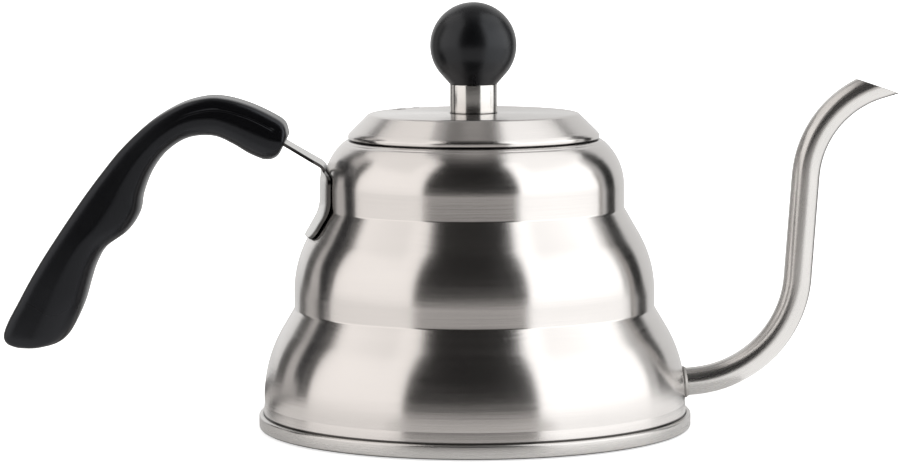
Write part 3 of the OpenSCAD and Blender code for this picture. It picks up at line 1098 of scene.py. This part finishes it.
@dataclass
class Bracket:
    """Bent steel strip that carries the grip: saddle on the body, strap and tang."""

    shop: Workshop
    wall_line: list[Point]
    strip: float = 1.2
    gap: float = 0.2
    foot: Point = (-46.0, 86.9)
    slope: float = 30.8
    run: float = 43.0
    root_half_w: float = 10.0
    tang_half_w: float = 9.0
    wing_half_w: float = 18.0
    widen_u: float = 19.0
    widen_run: float = 8.0
    wing_run: float = 3.0
    tang_corner: float = 2.0
    foot_corner: float = 4.0
    wing_top: float = 88.6
    saddle_low: float = 66.0
    saddle_high: float = 86.5
    tang_at: tuple[float, ...] = (38, 33, 28, 23, 19, 16, 13.5)
    bend_steps: int = 14
    bend_ease: float = 0.62
    edge_share: float = 0.82
    edge_round: float = 0.35
    # how dark the painted shade on the strip's edges is
    painted_edge_shade: float = 0.85
    bend_start_u: float = 11.0
    saddle_steps: int = 28
    ease: float = 3.5
    across_steps: int = 24
    sharp: float = 50.0

    def strap_point(self, u: float) -> Vector:
        """Gives a point of the strap's middle line, u millimetres along it from the foot."""
        a = math.radians(self.slope)
        return Vector((self.foot[0] - u * math.cos(a), self.foot[1] + u * math.sin(a)))

    def saddle_line(self) -> list[Vector]:
        """Gives the middle line of the saddle, from its top down, eased over the wall's creases.

        Returns:
            Points in the kettle's upright middle plane, with the wall at negative X.
        """
        middle = self.gap + self.strip / 2
        line = [p for p in offset(self.wall_line, -middle) if self.saddle_low < p[1] < self.saddle_high]
        sharp = [Vector((-r, z)) for r, z in reversed(line)]
        travel = travelled(sharp)

        def at(distance: float) -> Vector:
            """Gives the point of the sharp line at a distance from its start."""
            i = max(k for k, t in enumerate(travel[:-1]) if t <= distance)
            return sharp[i].lerp(sharp[i + 1], (distance - travel[i]) / (travel[i + 1] - travel[i]))

        samples = 6
        smooth: list[Vector] = []
        for k in range(self.saddle_steps + 1):
            here = travel[-1] * k / self.saddle_steps
            span = min(self.ease, here, travel[-1] - here)
            near = [at(here + span * t / samples) for t in range(-samples, samples + 1)]
            smooth.append(sum(near, Vector((0, 0))) / len(near))
        return smooth

    def middle_line(self) -> list[tuple[Vector, float]]:
        """Gives the strip's middle line from the tang's end to the saddle's foot.

        Returns:
            Points with a weight that is 0 on the flat strap and 1 where the strip hugs the body.
        """
        line = [(self.strap_point(u), 0.0) for u in (self.run, *self.tang_at)]
        saddle = self.saddle_line()
        start, end = self.strap_point(self.bend_start_u), saddle[0]
        a = math.radians(self.slope)
        leave = Vector((math.cos(a), -math.sin(a)))
        arrive = (saddle[1] - saddle[0]).normalized()
        reach = (end - start).length * self.bend_ease
        for k in range(self.bend_steps):
            t = k / self.bend_steps
            p = (
                start * (1 - t) ** 3
                + 3 * (start + leave * reach) * t * (1 - t) ** 2
                + 3 * (end - arrive * reach) * t * t * (1 - t)
                + end * t**3
            )
            line.append((p, t * t * (3 - 2 * t)))
        return line + [(p, 1.0) for p in saddle]

    def half_width(self, at: Vector, hug: float, from_tang: float, to_foot: float) -> float:
        """Gives half the strip's width.

        Args:
            at: Point of the middle line.
            hug: 0 on the strap, 1 on the saddle.
            from_tang: Distance from the tang's end.
            to_foot: Distance from the saddle's foot.

        Returns:
            Half the width there.
        """
        if hug == 0.0:
            past = at.x - self.strap_point(self.widen_u).x
            share = min(1.0, max(0.0, past / self.widen_run))
            width = self.tang_half_w + (self.root_half_w - self.tang_half_w) * share
            return width - corner_loss(self.tang_corner, from_tang)
        spread = min(1.0, max(0.0, (self.wing_top - at.y) / self.wing_run))
        width = self.root_half_w + (self.wing_half_w - self.root_half_w) * quarter(spread)
        return width - corner_loss(self.foot_corner, to_foot)

    def build(self) -> None:
        """Builds the strip as one closed sheet that flattens from the body's curve to the strap."""
        line = self.middle_line()
        travel = travelled([p for p, _ in line])
        half = self.strip / 2
        rings: list[Ring] = []
        last = len(line) - 1
        for i, (at, hug) in enumerate(line):
            ahead = (line[min(i + 1, last)][0] - line[max(i - 1, 0)][0]).normalized()
            out = Vector((ahead.y, -ahead.x))
            width = self.half_width(at, hug, travel[i], travel[last] - travel[i])
            body_r = -at.x
            ring: Ring = []
            for side in (1, -1):
                lane = range(self.across_steps + 1)
                for k in lane if side > 0 else reversed(lane):
                    y = width * (2 * k / self.across_steps - 1)
                    edge = min(1.0, (width - abs(y)) / (self.edge_round * self.strip))
                    thick = half * (self.edge_share + (1 - self.edge_share) * quarter(edge))
                    wrap = hug * (body_r - math.sqrt(max(0.0, body_r**2 - y * y)))
                    lean = max(0.0, ahead.dot(Vector((0, -1))))
                    base = at + Vector((wrap, 0)) * lean
                    p = base + out * side * thick
                    ring.append(Vector((p.x, y, p.y)))
            rings.append(ring)
        bm = bmesh.new()
        mark = bm.verts.layers.float.new(PAINTED_SHADE)
        verts = skin(bm, rings)
        bm.faces.new(verts[0])
        bm.faces.new(verts[last])
        # painted shade: the strip's edge vertices are marked dark, standing in for the dark reflection on its
        # edge faces
        for ring in verts:
            for k in (0, self.across_steps, self.across_steps + 1, 2 * self.across_steps + 1):
                ring[k][mark] = self.painted_edge_shade
        strip = finish_mesh(bm, "bracket_strip", self.sharp)
        self.shop.fit(strip, Body.KETTLE, Slot.BRACKET, "handle_bracket")
        self.shop.dress("bracket_welds", Slot.WELD)


@dataclass
class Grip:
    """Moulded grip with two finger bumps, clamped on the tang by two screws."""

    shop: Workshop
    bracket: Bracket
    width: float = 23.0
    outer: tuple[Point, ...] = (
        (-62.8, 101), (-64.2, 105.3), (-68.5, 108.3), (-76, 111.8), (-84, 114.1), (-91, 114.4),
        (-100, 112), (-110, 106.2), (-119.5, 97.6), (-126.5, 89.3), (-132.5, 81.4), (-138, 73.6),
        (-143, 66.2), (-148, 58.5), (-152.6, 50.7), (-156.3, 43.9), (-159.7, 37.6), (-161.3, 33),
        (-160.2, 30.1), (-156.5, 28.6),
    )
    inner: tuple[Point, ...] = (
        (-64.8, 97), (-66.8, 93.5), (-70.5, 92.3), (-76, 94.2), (-82, 97.8), (-88.5, 100.5),
        (-97, 99.9), (-104.3, 95.4), (-109.5, 88.7), (-112.6, 81.1), (-114.0, 74.4), (-118.1, 68.2),
        (-125.4, 62.8), (-128.9, 57.2), (-130.9, 51.5), (-133, 44.4), (-135.8, 38), (-139, 32.6),
        (-142.6, 29.9), (-148, 28.6),
    )
    steps: int = 8
    crown: float = 0.26
    belly: float = 0.6
    lean_up: float = 0.14
    lean_down: float = 0.05
    trim: float = 0.6
    groove_below: float = 4.2
    groove_half: float = 0.5
    groove_depth: float = 0.55
    groove_run: tuple[float, float] = (1.6, 6.5)
    groove_fade: tuple[float, float] = (0.5, 3.0)
    top_steps: int = 24
    groove_steps: int = 6
    side_steps: int = 6
    belly_steps: int = 36
    end_share: float = 0.78
    bore_r: float = 4.2
    bore_depth: float = 20.0
    screw_at: tuple[float, float] = (28.0, 37.0)
    head_drop: float = 5.6
    slot_from: float = 16.0
    slot_play: float = 0.1
    sharp: float = 60.0

    def share(self, rise: float) -> float:
        """Gives the section's half width as a share of its widest, from the inner edge to the top.

        Args:
            rise: -1 at the inner edge, 0 in the middle, 1 at the outer edge.

        Returns:
            Share of the widest half width.
        """
        power = self.crown if rise > 0 else self.belly
        curve = max(0.0, 1 - abs(rise) ** (2 / power)) ** (power / 2)
        lean = self.lean_up * rise if rise > 0 else self.lean_down * -rise
        return curve * (1 - lean)

    def section(self, depth: float) -> list[tuple[float, float]]:
        """Gives one side of a section from the outer edge to the inner edge.

        Args:
            depth: Distance between the two edges.

        Returns:
            Pairs of rise and groove: the groove is 0 beside it and 1 on its floor.
        """
        reach = depth / 2
        half = min(self.groove_half, depth / 20)
        below = min(self.groove_below, 0.4 * depth)
        start = 1 - (below - 2 * half) / reach
        end = 1 - (below + 2 * half) / reach
        first = math.asin(start ** (1 / self.crown))
        side: list[tuple[float, float]] = []
        for k in range(1, self.top_steps + 1):
            angle = math.pi / 2 + (first - math.pi / 2) * k / self.top_steps
            side.append((math.sin(angle) ** self.crown, 0.0))
        for k in range(1 - self.groove_steps, self.groove_steps):
            t = 2 * k / self.groove_steps
            side.append((1 - (below + t * half) / reach, max(0.0, 1 - t * t)))
        side += [(end * (1 - k / self.side_steps), 0.0) for k in range(self.side_steps + 1)]
        for k in range(1, self.belly_steps):
            side.append((-(math.sin(math.pi / 2 * k / self.belly_steps) ** self.belly), 0.0))
        return side

    def ring(self, top: Point, low: Point, half_w: float, groove: float) -> Ring:
        """Gives the section between a point of the outer edge and one of the inner edge.

        Args:
            top: Point of the outer edge.
            low: Point of the inner edge.
            half_w: Half the width of the section.
            groove: Depth of the side groove here.

        Returns:
            Points of the section.
        """
        o, i = Vector(top), Vector(low)
        o += (i - o).normalized() * self.trim
        middle, reach = (o + i) / 2, (o - i) / 2
        side = self.section((o - i).length)
        ring: Ring = [Vector((o.x, 0, o.y))]
        for rise, dip in side:
            p = middle + reach * rise
            ring.append(Vector((p.x, -(self.share(rise) * half_w - groove * dip), p.y)))
        ring.append(Vector((i.x, 0, i.y)))
        for rise, dip in reversed(side):
            p = middle + reach * rise
            ring.append(Vector((p.x, self.share(rise) * half_w - groove * dip, p.y)))
        return ring

    def build(self) -> None:
        """Builds the grip, then cuts the tang's slot and the screws' counterbores."""
        outer = smooth_curve(self.outer, self.steps)
        inner = smooth_curve(self.inner, self.steps)
        last = len(outer) - 1
        rings = []
        for s in range(last + 1):
            ease = min(1.0, s / self.steps, (last - s) / (2 * self.steps))
            half_w = self.width / 2 * (self.end_share + (1 - self.end_share) * quarter(ease))
            at = s / self.steps
            fade_in = min(1.0, max(0.0, (at - self.groove_run[0]) / self.groove_fade[0]))
            fade_out = min(1.0, max(0.0, (self.groove_run[1] - at) / self.groove_fade[1]))
            rings.append(self.ring(outer[s], inner[s], half_w, self.groove_depth * fade_in * fade_out))
        bm = bmesh.new()
        verts = skin(bm, rings)
        bm.faces.new(verts[0])
        bm.faces.new(verts[last])
        grip = finish_mesh(bm, "moulded_grip", self.sharp)
        slot_len = self.bracket.run - self.slot_from + 1
        slot = Vector((slot_len, 2 * self.bracket.root_half_w, self.bracket.strip + self.slot_play))
        cutters = [brick(slot, self.strap_place(self.slot_from + slot_len / 2))]
        drop = Matrix.Translation((0, 0, -self.head_drop - self.bore_depth))
        for u in self.screw_at:
            cutters.append(drum(self.bore_r, self.bore_depth, self.strap_place(u) @ drop))
        cut(grip, cutters, self.sharp)
        self.shop.fit(grip, Body.KETTLE, Slot.GRIP, "handle_grip")
        self.shop.dress("grip_screws", Slot.SCREW)
        self.shop.dress("grip_washers", Slot.SCREW)

    def strap_place(self, u: float) -> Matrix:
        """Gives a place on the strap, with X along it and Z square to it.

        Args:
            u: Distance along the strap from its foot, in millimetres.

        Returns:
            The place, in millimetres.
        """
        at = self.bracket.strap_point(u)
        tilt = Matrix.Rotation(math.radians(self.bracket.slope), 4, "Y")
        turn = Matrix.Rotation(math.pi, 4, "Z")
        return Matrix.Translation((at.x, 0, at.y)) @ tilt @ turn


@dataclass
class Lid:
    """Lift-off lid: cover with a rolled lip, skirt and two steam vents."""

    shop: Workshop
    top_r: float = 36.2
    lip_r: float = 42.9
    top_z: float = 107.7
    lip_z: float = 99.0
    sheet: float = 0.6
    skirt_r: float = 38.0
    skirt_depth: float = 11.0
    edge_round: float = 2.2
    edge_in: float = 1.35
    vents: tuple[tuple[float, float, float], ...] = ((-25.7, 20.2, 2.4), (-20.3, 26.4, 1.68))

    def cover_path(self) -> list[Point]:
        """Gives the outer side of the cover from the axis to the tip of the rolled lip.

        Returns:
            Points of radius and height.
        """
        corners = [Corner(2.05, self.top_z)]
        hub = (self.top_r - self.edge_in, self.top_z - self.edge_round)
        corners += arc(hub, self.edge_round, start=90, end=45, steps=10)
        corners += [Corner(self.lip_r - 0.9, self.lip_z + 2.5, 0.5)]
        corners += arc((self.lip_r - 0.9, self.lip_z + 1.2), 0.9, start=20, end=0, steps=3)
        corners += arc((self.lip_r - 0.7, self.lip_z + 0.7), 0.7, start=0, end=-90, steps=6)
        corners += [Corner(self.lip_r - 1.8, self.lip_z)]
        return rounded(corners, closed=False)

    def build(self) -> None:
        """Builds the cover with its vents, and the skirt."""
        cover = lathe("lid_shell", sheet(self.cover_path(), -self.sheet), segments=256)
        cut(cover, [drum(r, 4, Matrix.Translation((x, y, self.top_z - 2))) for x, y, r in self.vents])
        self.shop.fit(cover, Body.LID, Slot.LID, "lid_cover")
        flange = self.lip_z + self.sheet
        skirt = [
            Corner(self.skirt_r - 0.6, flange + 0.6, 0.3),
            Corner(self.skirt_r - 0.6, flange - self.skirt_depth, 0.2),
            Corner(self.skirt_r, flange - self.skirt_depth, 0.2),
            Corner(self.skirt_r, flange, 0.3),
            Corner(self.lip_r - 0.75, flange),
            Corner(self.lip_r - 0.75, flange + 0.6),
        ]
        guide = lathe("lid_guide_skirt", rounded(skirt), segments=192)
        self.shop.fit(guide, Body.LID, Slot.LID, "lid_skirt")
        self.shop.dress("skirt_welds", Slot.WELD)


@dataclass
class Knob:
    """Ball knob on a turned collar, held by a screw from under the lid."""

    shop: Workshop
    ball_r: float = 14.7
    ball_z: float = 130.7
    foot_r: float = 8.05
    foot_h: float = 3.4
    collar_r: float = 8.15
    low: float = 107.7
    high: float = 117.6
    bore: float = 2.05
    insert_r: float = 3.6
    insert_h: float = 13.0

    def build(self) -> None:
        """Builds the collar and the ball, and dresses the hidden hardware."""
        collar = [
            Corner(self.bore, self.low),
            Corner(self.collar_r, self.low, 0.25),
            Corner(self.collar_r, self.high, 0.35),
            Corner(self.bore, self.high),
        ]
        spacer = lathe("knob_spacer", rounded(collar), segments=128)
        self.shop.fit(spacer, Body.LID, Slot.COLLAR, "knob_collar")
        leave = -math.degrees(math.asin((self.ball_z - self.high - self.foot_h) / self.ball_r))
        ball = arc((0, self.ball_z), self.ball_r, start=90, end=leave, steps=72) + [
            Corner(self.foot_r, self.high, 0.25),
            Corner(self.insert_r, self.high),
            Corner(self.insert_r, self.high + self.insert_h),
            Corner(0, self.high + self.insert_h),
        ]
        handle = lathe("ball_handle", rounded(ball), segments=160)
        self.shop.fit(handle, Body.LID, Slot.KNOB, "knob_ball")
        self.shop.dress("knob_insert", Slot.BRASS)
        for node in ("knob_screw", "knob_washer", "knob_lock_washer"):
            self.shop.dress(node, Slot.SCREW)


# ---- studio -------------------------------------------------------------------------------------


WARM = (1.0, 0.965, 0.935)
COOL = (1.0, 0.995, 0.985)


@dataclass(frozen=True)
class Sector:
    """Part of the studio round the kettle, in degrees of bearing and of height above the floor.

    Bearings count from the camera's side towards +X. The floor has its own brightness for the
    metal's reflections.
    """

    name: str
    first: float
    last: float
    low: float
    high: float
    level: float
    floor: float = 0.0
    tint: Colour = WARM


def heading(bearing: float) -> Vector:
    """Gives the level direction of a bearing in degrees."""
    a = math.radians(bearing)
    return Vector((math.sin(a), -math.cos(a), 0))


@dataclass
class Studio:
    """Pale floor, soft panels and dark flags round the kettle, and the camera. Sizes in metres."""

    eye: tuple[float, float, float] = (-0.00824, -1.2034, 0.19404)
    pitch: float = 83.968
    roll: float = -0.282
    lens: float = 141.54
    sensor: float = 36.0
    reach: float = 1.9
    panel_rows: int = 8
    panel_turn: float = 4.0
    card_lift: float = 0.0006
    card_reach: Point = (0.1, 1.88)
    panel_gap: float = 0.05
    fade_reach: Point = (0.08, 0.9)
    fade_level: Point = (0.12, 0.6)
    seen_level: float = 0.6
    floor_colour: Colour = (0.9, 0.9, 0.9)
    floor_rough: float = 0.6
    mirrored: Colour = (0.34, 0.335, 0.33)

    @staticmethod
    def glow(name: str, level: float, tint: Colour) -> bpy.types.Material:
        """Makes the material of a light panel or flag.

        Args:
            name: Name of the material.
            level: Brightness.
            tint: Colour of the light.

        Returns:
            The material.
        """
        material = bpy.data.materials.new(name)
        material.use_nodes = True
        tree = material.node_tree
        tree.nodes.clear()
        lamp = tree.nodes.new("ShaderNodeEmission")
        lamp.inputs["Color"].default_value = (*tint, 1)
        lamp.inputs["Strength"].default_value = level
        out = tree.nodes.new("ShaderNodeOutputMaterial")
        tree.links.new(lamp.outputs[0], out.inputs["Surface"])
        return material

    def bearings(self, sector: Sector) -> list[Vector]:
        """Gives level directions across a sector, both of its edges included.

        Args:
            sector: Sector of the studio.

        Returns:
            Directions a few degrees apart.
        """
        turn = sector.last - sector.first
        steps = max(2, round(turn / self.panel_turn))
        return [heading(sector.first + turn * k / steps) for k in range(steps + 1)]

    def panel(self, sector: Sector, reach: float) -> None:
        """Stands a curved panel of a sector round the kettle.

        Args:
            sector: Bearings, heights, brightness and colour.
            reach: Distance from the axis.
        """
        bm = bmesh.new()
        rows = []
        for side in self.bearings(sector):
            row = []
            for j in range(self.panel_rows + 1):
                h = math.radians(sector.low + (sector.high - sector.low) * j / self.panel_rows)
                row.append(bm.verts.new((side * math.cos(h) + UP * math.sin(h)) * reach))
            rows.append(row)
        for a, b in zip(rows, rows[1:]):
            for j in range(self.panel_rows):
                bm.faces.new((a[j], a[j + 1], b[j + 1], b[j]))
        self.stand(bm, sector.name, self.glow(sector.name, sector.level, sector.tint))

    def floor_card(self, sector: Sector) -> None:
        """Lays a card on the floor that only the metal's reflections see.

        Args:
            sector: Bearings, floor brightness and colour.
        """
        bm = bmesh.new()
        rows = []
        for side in self.bearings(sector):
            rows.append([bm.verts.new(side * r + UP * self.card_lift) for r in self.card_reach])
        for a, b in zip(rows, rows[1:]):
            bm.faces.new((a[0], b[0], b[1], a[1]))
        name = f"{sector.name}_floor"
        card = self.stand(bm, name, self.glow(name, sector.floor, sector.tint))
        card.visible_diffuse = False

    @staticmethod
    def stand(bm: WorkMesh, name: str, material: bpy.types.Material) -> Piece:
        """Makes a studio piece that the camera looks through.

        Args:
            bm: Working mesh in metres; it is freed.
            name: Name of the piece.
            material: Its material.

        Returns:
            The studio piece.
        """
        piece = stand_mesh(bm, name)
        piece.data.materials.append(material)
        piece.visible_camera = piece.visible_shadow = False
        return piece

    def lights(self) -> None:
        """Sets the soft panels and the dark flags."""
        near, far = self.reach - self.panel_gap, self.reach
        high = (
            Sector("left_high", -132, -56, 38, 70, 0.98),
            Sector("right_high", 50, 126, 38, 76, 1.25, tint=COOL),
            Sector("front_high", -60, 50, 64, 76, 0.1),
        )
        around = (
            Sector("front_flag", -34, 30, -3, 0, 0.01, floor=0.58),
            Sector("left", -101, -34, 0, 64, 1.15, floor=0.86),
            Sector("right", 30, 108, 0, 64, 1.6, floor=1.18, tint=COOL),
            Sector("left_edge_flag", -112, -101, 0, 44, 0.0, floor=0.05),
            Sector("left_edge", -128, -112, 0, 44, 0.55, floor=0.5),
            Sector("left_back_flag", -141, -128, 0, 40, 0.08, floor=0.15),
            Sector("right_edge", 108, 118, 0, 44, 0.55, floor=0.7, tint=COOL),
            Sector("right_back_flag", 118, 134, 0, 44, 0.0, floor=0.04),
            Sector("right_back", 134, 180, 0, 50, 0.72, floor=0.7, tint=COOL),
            Sector("left_back", -180, -141, 0, 50, 0.84, floor=0.7, tint=COOL),
        )
        overhead = (
            Sector("overhead", -180, 180, 76, 84, 0.24),
            Sector("zenith", -180, 180, 84, 90, 0.42),
        )
        for sector in high:
            self.panel(sector, near)
        for sector in around:
            self.panel(sector, far)
            self.floor_card(sector)
        for sector in overhead:
            self.panel(sector, far)
        self.panel(Sector("front_flag_high", -39, 34, 0, 64, 0.01), near)

    def surround(self) -> None:
        """Sets the white background, a mid grey to the kettle's own reflections."""
        world = bpy.data.worlds.new("surround")
        bpy.context.scene.world = world
        world.use_nodes = True
        tree = world.node_tree
        sky = tree.nodes["Background"]
        seen = tree.nodes.new("ShaderNodeLightPath").outputs["Is Camera Ray"]
        tree.links.new(Finish.blend(tree, seen, self.mirrored, (1, 1, 1)), sky.inputs["Color"])

    def floor(self) -> None:
        """Lays the pale floor."""
        bm = bmesh.new()
        bmesh.ops.create_circle(bm, cap_ends=True, radius=self.reach * 3, segments=96)
        ground = stand_mesh(bm, "pale_floor")
        material = bpy.data.materials.new("pale floor")
        material.use_nodes = True
        tree = material.node_tree
        shader = tree.nodes["Principled BSDF"]
        shader.inputs["Base Color"].default_value = (*self.floor_colour, 1)
        shader.inputs["Roughness"].default_value = self.floor_rough
        shader.inputs["Emission Color"].default_value = (1, 1, 1, 1)
        place = tree.nodes.new("ShaderNodeTexCoord").outputs["Object"]
        length = tree.nodes.new("ShaderNodeVectorMath")
        length.operation = "LENGTH"
        tree.links.new(place, length.inputs[0])
        lift = EFFECTS.remap(tree, length.outputs["Value"], self.fade_reach, self.fade_level)
        seen = tree.nodes.new("ShaderNodeLightPath").outputs["Is Camera Ray"]
        level = EFFECTS.math(tree, "MULTIPLY_ADD", seen, self.seen_level, lift)
        tree.links.new(level, shader.inputs["Emission Strength"])
        ground.data.materials.append(material)

    def camera(self) -> None:
        """Stands the camera in front of the kettle."""
        data = bpy.data.cameras.new("studio_camera")
        data.lens = self.lens
        data.sensor_width = self.sensor
        view = bpy.data.objects.new("studio_camera", data)
        bpy.context.scene.collection.objects.link(view)
        aim = Matrix.Rotation(math.radians(self.pitch), 4, "X")
        lean = Matrix.Rotation(math.radians(self.roll), 4, "Z")
        view.matrix_world = Matrix.Translation(self.eye) @ aim @ lean
        bpy.context.scene.camera = view

    def build(self) -> None:
        """Sets up the whole studio."""
        scene = bpy.context.scene
        scene.view_settings.view_transform = "Standard"
        scene.view_settings.look = "None"
        self.surround()
        self.floor()
        self.lights()
        self.camera()
        LOG.info("studio: floor, panels, flags and camera")


def main() -> None:
    """Builds the sub-assemblies in order, from the body outward."""
    logging.basicConfig(level=logging.INFO, format="%(name)s: %(message)s")
    shop = Workshop()
    body = KettleBody(shop)
    spout = Spout(shop)
    body.build_shell(spout.root_place(), spout.radius + spout.hole_play)
    body.build_neck()
    body.build_base()
    spout.build()
    bracket = Bracket(shop, body.outside())
    bracket.build()
    Grip(shop, bracket).build()
    Lid(shop).build()
    Knob(shop).build()
    Studio().build()


if __name__ == "__main__":
    main()
